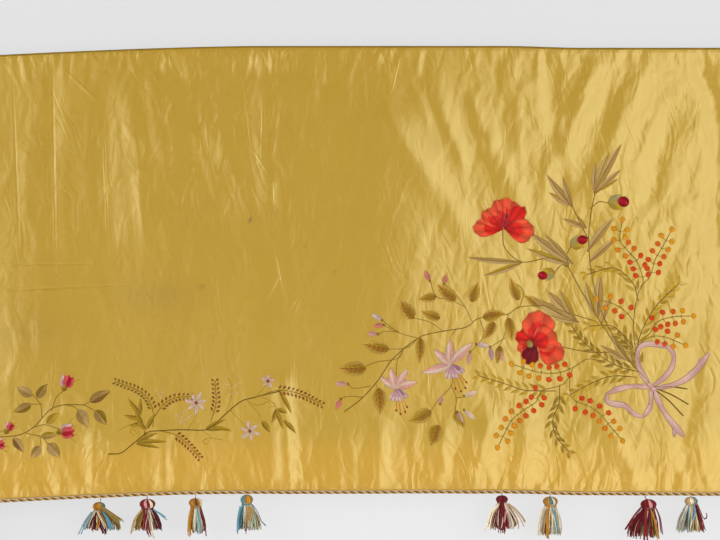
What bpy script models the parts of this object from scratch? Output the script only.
"""Altar frontal: a hung silk panel, with a twisted cord and tassels sewn along its lower edge.

Metres, +Z up. The panel hangs in the XZ plane and its embroidered front faces -Y.
The origin is the middle of the top edge, by which the panel hangs.
"""

import math
import random
from collections import namedtuple

import bmesh
import bpy
from mathutils import Vector

# Driving dimensions
PANEL_LENGTH = 1.860
PANEL_DROP = 0.866
CLOTH_THICKNESS = 0.002
PIECE_GAP = 0.0003
CORD_RADIUS = 0.0034
CORD_PITCH = 0.0157
CORD_PLIES = 3
CORD_STEPS_PER_TURN = 6

# The panel's grid: the folds run mostly up and down, so it is finer along the length
CELLS_ALONG = 96
CELLS_DOWN = 14

# The top edge droops towards the left end, and by a little at the right end
LEFT_DROOP_STARTS_X = -0.195
LEFT_DROOP_SPAN = 0.507
LEFT_DROOP = 0.0176
LEFT_DROOP_POWER = 1.5
RIGHT_DROOP_FROM_X = 0.280
RIGHT_DROOP_TO_X = 0.430
RIGHT_DROOP = 0.0035

# Slow waves of the whole hung cloth: length along the panel, sideways shift for each metre down, and depth
Wave = namedtuple("Wave", "length shear phase depth")
SLOW_WAVES = (
    Wave(length=0.74, shear=0.22, phase=0.6, depth=0.0042),
    Wave(length=0.41, shear=-0.35, phase=2.1, depth=0.0021),
    Wave(length=0.23, shear=0.15, phase=4.4, depth=0.0011),
)
HELD_EDGE = 0.16  # the waves grow from nothing to full over this drop below the held edge

# The lowest part of the cloth curves forward to its hem
HEM_FLARE = 0.011
FLARED_HEIGHT = 0.166

# Main folds in millimetres: where each starts and ends, its crown's half width, and how far it stands forward
Fold = namedtuple("Fold", "x_start z_start x_end z_end half_width rise")
MAIN_FOLDS = (
    # the fan of soft ridges that runs down to the bouquet
    Fold(x_start=49, z_start=-140, x_end=230, z_end=-408, half_width=28, rise=7.0),
    Fold(x_start=146, z_start=-70, x_end=205, z_end=-225, half_width=19, rise=5.0),
    Fold(x_start=215, z_start=-105, x_end=318, z_end=-320, half_width=21, rise=6.0),
    Fold(x_start=372, z_start=-40, x_end=392, z_end=-300, half_width=19, rise=-4.5),
    Fold(x_start=468, z_start=-25, x_end=367, z_end=-262, half_width=22, rise=6.0),
    Fold(x_start=546, z_start=-66, x_end=449, z_end=-300, half_width=25, rise=4.5),
    Fold(x_start=612, z_start=-110, x_end=560, z_end=-330, half_width=24, rise=-4.0),
    # the right end
    Fold(x_start=660, z_start=-30, x_end=696, z_end=-130, half_width=17, rise=-5.0),
    Fold(x_start=696, z_start=-130, x_end=700, z_end=-420, half_width=19, rise=-6.0),
    Fold(x_start=643, z_start=-417, x_end=585, z_end=-560, half_width=24, rise=4.5),
    Fold(x_start=663, z_start=-554, x_end=624, z_end=-850, half_width=22, rise=-4.5),
    Fold(x_start=778, z_start=-60, x_end=760, z_end=-520, half_width=26, rise=5.0),
    Fold(x_start=850, z_start=-240, x_end=862, z_end=-830, half_width=24, rise=-4.5),
    # short folds that stand on the lower edge
    Fold(x_start=460, z_start=-690, x_end=546, z_end=-866, half_width=20, rise=4.5),
    Fold(x_start=331, z_start=-700, x_end=312, z_end=-866, half_width=18, rise=4.5),
    Fold(x_start=258, z_start=-720, x_end=214, z_end=-866, half_width=22, rise=6.0),
    Fold(x_start=166, z_start=-740, x_end=146, z_end=-860, half_width=17, rise=4.5),
    Fold(x_start=40, z_start=-730, x_end=35, z_end=-862, half_width=17, rise=3.0),
    Fold(x_start=-150, z_start=-660, x_end=-140, z_end=-866, half_width=17, rise=6.0),
    Fold(x_start=-388, z_start=-740, x_end=-384, z_end=-866, half_width=19, rise=4.5),
    Fold(x_start=-516, z_start=-750, x_end=-513, z_end=-866, half_width=18, rise=4.5),
    Fold(x_start=-628, z_start=-700, x_end=-620, z_end=-866, half_width=20, rise=-4.0),
    # the left half
    Fold(x_start=-180, z_start=-60, x_end=-178, z_end=-345, half_width=20, rise=6.0),
    Fold(x_start=-318, z_start=-170, x_end=-226, z_end=-345, half_width=19, rise=4.5),
    Fold(x_start=-404, z_start=-66, x_end=-380, z_end=-260, half_width=17, rise=4.5),
    Fold(x_start=-452, z_start=-80, x_end=-419, z_end=-380, half_width=22, rise=4.5),
    Fold(x_start=-497, z_start=-90, x_end=-493, z_end=-370, half_width=17, rise=-4.5),
    Fold(x_start=-598, z_start=-30, x_end=-596, z_end=-450, half_width=17, rise=-4.0),
    Fold(x_start=-760, z_start=-60, x_end=-748, z_end=-560, half_width=24, rise=4.5),
    Fold(x_start=-846, z_start=-180, x_end=-852, z_end=-800, half_width=22, rise=-4.0),
)

# Tassels in millimetres: place along the panel, hanging thread, sideways swing of the head, its half width
# and half height, reach of the locks below its middle, spread of their tips to each side, and colour
Tassel = namedtuple(
    "Tassel", "x thread swing head_half_width head_half_height reach tip_left tip_right colour"
)
TASSELS = (
    Tassel(-788, 3.5, 0.0, 13.0, 8.8, 58, 24, 24, "gold"),
    Tassel(-504, 5.0, -4.0, 11.5, 8.8, 49, 35, 44, "gold"),
    Tassel(-414, 3.0, 1.0, 14.5, 9.5, 55, 29, 32, "red"),
    Tassel(-320, 4.0, 1.0, 12.8, 8.0, 62, 16, 22, "gold"),
    Tassel(-222, 1.5, 1.0, 11.5, 9.5, 59, 19, 28, "blue"),
    Tassel(275, 3.5, 0.0, 11.0, 7.5, 58, 26, 42, "red"),
    Tassel(368, 4.0, 0.5, 14.0, 8.8, 66, 27, 24, "gold"),
    Tassel(552, 7.0, 7.0, 15.0, 10.0, 65, 46, 20, "red"),
    Tassel(642, 2.0, 0.5, 12.0, 8.0, 62, 32, 30, "blue"),
    Tassel(834, 3.5, 0.0, 13.0, 8.8, 58, 24, 24, "red"),
)
HEAD_SEGMENTS = 12
HEAD_RINGS = 8
RING_ANGLE = math.pi / HEAD_RINGS
THREAD_RADIUS = 0.0019
LOCK_DEPTH_SHARE = 0.72  # a tassel is shallower, front to back, than it is wide
INNER_LOCK_SHARE = 0.45  # the inner ring of tips, as a share of the outer one
LOCK_KNEE_SCALE = 0.78
LOCK_TIP_SCALE = 0.72
TIP_JITTER = 0.06  # as a share of a tip's distance from the middle
SHORTEST_LOCK = 0.88  # as a share of the longest
RANDOM_SEED = 7

COLOURS = {
    "satin": (0.60, 0.38, 0.06, 1.0),
    "cord": (0.35, 0.17, 0.07, 1.0),
    "gold": (0.42, 0.24, 0.05, 1.0),
    "red": (0.19, 0.01, 0.02, 1.0),
    "blue": (0.25, 0.33, 0.30, 1.0),
}


def smooth(t):
    """Goes from 0 to 1 with flat ends as t goes from 0 to 1."""
    t = min(1.0, max(0.0, t))
    return t * t * (3.0 - 2.0 * t)


def top_line(x):
    """Height of the panel's top edge at x."""
    left = max(0.0, (LEFT_DROOP_STARTS_X - x) / LEFT_DROOP_SPAN)
    right = smooth((x - RIGHT_DROOP_FROM_X) / (RIGHT_DROOP_TO_X - RIGHT_DROOP_FROM_X))
    return -LEFT_DROOP * left**LEFT_DROOP_POWER - RIGHT_DROOP * right


def bottom_line(x):
    """Height of the panel's lower edge at x."""
    return top_line(x) - PANEL_DROP


def fold_rise(fold, x, z):
    """How far one fold stands forward at x, z: a soft crown across it, fading at both of its ends."""
    start = Vector((fold.x_start, fold.z_start)) / 1000.0
    end = Vector((fold.x_end, fold.z_end)) / 1000.0
    along = end - start
    offset = Vector((x, z)) - start
    share = offset.dot(along) / along.length_squared
    across = (offset - along * share).length / (fold.half_width / 1000.0)
    fade = smooth((share + 0.2) / 0.4) * smooth((1.2 - share) / 0.4)
    return fold.rise / 1000.0 * fade * math.exp(-across * across)


def forward(x, z):
    """How far the middle of the cloth stands forward of its hanging plane."""
    below = top_line(x) - z
    waves = sum(
        wave.depth * math.sin(math.tau * (x + wave.shear * below) / wave.length + wave.phase)
        for wave in SLOW_WAVES
    )
    folds = sum(fold_rise(fold, x, z) for fold in MAIN_FOLDS)
    flare = HEM_FLARE * max(0.0, 1.0 - (PANEL_DROP - below) / FLARED_HEIGHT) ** 2
    return smooth(below / HELD_EDGE) * waves + folds * smooth(below / (HELD_EDGE / 4)) + flare


def cord_centre(x):
    """Middle of the edging cord, just under the panel's lower edge."""
    z = bottom_line(x)
    return Vector((x, -forward(x, z), z - PIECE_GAP - CORD_RADIUS))


def under_a_ply(x):
    """The place nearest to x where one of the cord's plies points straight down."""
    ply_spacing = CORD_PITCH / CORD_PLIES
    first = CORD_PITCH / 4.0
    return first + round((x - first) / ply_spacing) * ply_spacing


def new_material(name):
    material = bpy.data.materials.new(name)
    material.use_nodes = True
    shader = material.node_tree.nodes["Principled BSDF"]
    shader.inputs["Base Color"].default_value = COLOURS[name]
    shader.inputs["Roughness"].default_value = 0.45 if name == "satin" else 0.8
    shader.inputs["Metallic"].default_value = 0.0
    return material


def finish(part, name, collection, material):
    """Names a part, gives it its material and puts it in the frontal's collection."""
    part.name = name
    part.data.name = name
    part.data.materials.clear()
    part.data.materials.append(material)
    for old in list(part.users_collection):
        old.objects.unlink(part)
    collection.objects.link(part)


def make_panel(collection, material):
    """The silk panel: one sheet on its folds, with its hems as part of it."""
    bpy.ops.mesh.primitive_grid_add(x_subdivisions=CELLS_ALONG, y_subdivisions=CELLS_DOWN, size=1.0)
    panel = bpy.context.object
    for vertex in panel.data.vertices:
        x = vertex.co.x * PANEL_LENGTH
        z = top_line(x) - (0.5 - vertex.co.y) * PANEL_DROP
        vertex.co = (x, -forward(x, z), z)
    panel.data.shade_smooth()
    thickness = panel.modifiers.new("Cloth thickness", "SOLIDIFY")
    thickness.thickness = CLOTH_THICKNESS
    thickness.offset = 0.0
    panel.modifiers.new("Shading by face area", "WEIGHTED_NORMAL")
    finish(panel, "silk_panel", collection, material)


def make_cord(collection, material):
    """The edging cord: a three-ply section that turns as it runs along the lower edge."""
    steps = round(PANEL_LENGTH / CORD_PITCH * CORD_STEPS_PER_TURN)
    bpy.ops.mesh.primitive_cylinder_add(vertices=CORD_PLIES, radius=CORD_RADIUS, depth=1.0)
    cord = bpy.context.object
    mesh = bmesh.new()
    mesh.from_mesh(cord.data)
    long_edges = [e for e in mesh.edges if abs(e.verts[0].co.z - e.verts[1].co.z) > 0.5]
    bmesh.ops.subdivide_edges(mesh, edges=long_edges, cuts=steps - 1)
    for vertex in mesh.verts:
        x = vertex.co.z * PANEL_LENGTH
        turn = math.atan2(vertex.co.y, vertex.co.x) - math.tau * x / CORD_PITCH
        section = Vector((0.0, -math.cos(turn), math.sin(turn))) * CORD_RADIUS
        vertex.co = cord_centre(x) + section
    # Laying the cylinder along X mirrors it, so its faces are turned to look outwards again
    bmesh.ops.reverse_faces(mesh, faces=mesh.faces)
    mesh.to_mesh(cord.data)
    mesh.free()
    finish(cord, "edging_cord", collection, material)


def lock_tip(tassel, root, inner, numbers):
    """Where a lock's tip hangs, from the head's middle: out past its root, on an oval ring."""
    turn = math.atan2(root.y, root.x)
    side = (tassel.tip_right if root.x > 0 else tassel.tip_left) / 1000
    depth = (tassel.tip_left + tassel.tip_right) / 2000 * LOCK_DEPTH_SHARE
    ring = INNER_LOCK_SHARE if inner else 1.0
    x = side * ring * (math.cos(turn) + numbers.uniform(-TIP_JITTER, TIP_JITTER))
    y = depth * ring * (math.sin(turn) + numbers.uniform(-TIP_JITTER, TIP_JITTER))
    return Vector((x, y, -tassel.reach / 1000 * numbers.uniform(SHORTEST_LOCK, 1.0)))


def grow_lock(mesh, face, tip):
    """Draws a lock of yarn out of a face of the head, over a soft knee and down to its tip."""
    root = face.calc_center_median()
    knee = root.lerp(tip, 0.45)
    knee.x = root.x + (tip.x - root.x) * 0.52
    knee.y = root.y + (tip.y - root.y) * 0.52
    for centre, scale in ((knee, LOCK_KNEE_SCALE), (tip, LOCK_TIP_SCALE)):
        face = bmesh.ops.extrude_discrete_faces(mesh, faces=[face])["faces"][0]
        old_centre = face.calc_center_median()
        for vertex in face.verts:
            offset = vertex.co - old_centre
            vertex.co = centre + Vector((offset.x, offset.y, 0.0)) * scale


def draw_thread(mesh, tassel):
    """Draws the head's crown in to the thread, and the thread up to the cord; gives the top's height."""
    half_height = tassel.head_half_height / 1000
    top = half_height + tassel.thread / 1000
    for height, shift in ((half_height, 0.0), (top, -tassel.swing / 1000)):
        highest = max(vertex.co.z for vertex in mesh.verts)
        crown = [
            face for face in mesh.faces
            if any(vertex.co.z > highest - 1e-6 for vertex in face.verts) and face.normal.z > 0.5
        ]
        grown = bmesh.ops.extrude_face_region(mesh, geom=crown)["geom"]
        bmesh.ops.delete(mesh, geom=crown, context="FACES_ONLY")
        for vertex in (item for item in grown if isinstance(item, bmesh.types.BMVert)):
            place = Vector((vertex.co.x, vertex.co.y))
            if height == half_height and place.length > 1e-6:
                place = place.normalized() * THREAD_RADIUS
            vertex.co = (place.x + shift, place.y, height)
        mesh.normal_update()
    return top


def make_tassel(number, tassel, collection, material, numbers):
    """A tassel: a wound head that hangs by its thread, and the locks of yarn that fall from under it."""
    mesh = bmesh.new()
    bmesh.ops.create_uvsphere(mesh, u_segments=HEAD_SEGMENTS, v_segments=HEAD_RINGS, radius=1.0)
    half_width = tassel.head_half_width / 1000
    half_height = tassel.head_half_height / 1000
    bmesh.ops.scale(mesh, verts=mesh.verts, vec=(half_width, half_width * 0.9, half_height))

    # Two rings of faces under the widest part let the locks fall
    ring_heights = [-half_height * math.sin(RING_ANGLE * ring) for ring in (1, 2, 3)]
    roots = []
    for face in mesh.faces:
        root = face.calc_center_median()
        if ring_heights[2] < root.z < ring_heights[0]:
            inner = root.z < ring_heights[1]
            turn = round(math.degrees(math.atan2(root.y, root.x)))
            roots.append((inner, turn, root, face))
    for inner, _, root, face in sorted(roots, key=lambda entry: entry[:2]):
        grow_lock(mesh, face, lock_tip(tassel, root, inner, numbers))

    top = draw_thread(mesh, tassel)
    seat = cord_centre(under_a_ply(tassel.x / 1000))
    hang = seat + Vector((tassel.swing / 1000, 0.0, -(CORD_RADIUS + PIECE_GAP + top)))
    bmesh.ops.translate(mesh, verts=mesh.verts, vec=hang)
    bmesh.ops.recalc_face_normals(mesh, faces=mesh.faces)
    data = bpy.data.meshes.new("tassel")
    mesh.to_mesh(data)
    mesh.free()
    part = bpy.data.objects.new("tassel", data)
    collection.objects.link(part)
    finish(part, f"tassel_{number:02d}", collection, material)


def main():
    for old in list(bpy.data.objects):
        bpy.data.objects.remove(old)
    collection = bpy.data.collections.new("altar_frontal")
    bpy.context.scene.collection.children.link(collection)
    materials = {name: new_material(name) for name in COLOURS}
    make_panel(collection, materials["satin"])
    make_cord(collection, materials["cord"])
    numbers = random.Random(RANDOM_SEED)
    for number, tassel in enumerate(TASSELS, start=1):
        make_tassel(number, tassel, collection, materials[tassel.colour], numbers)


main()
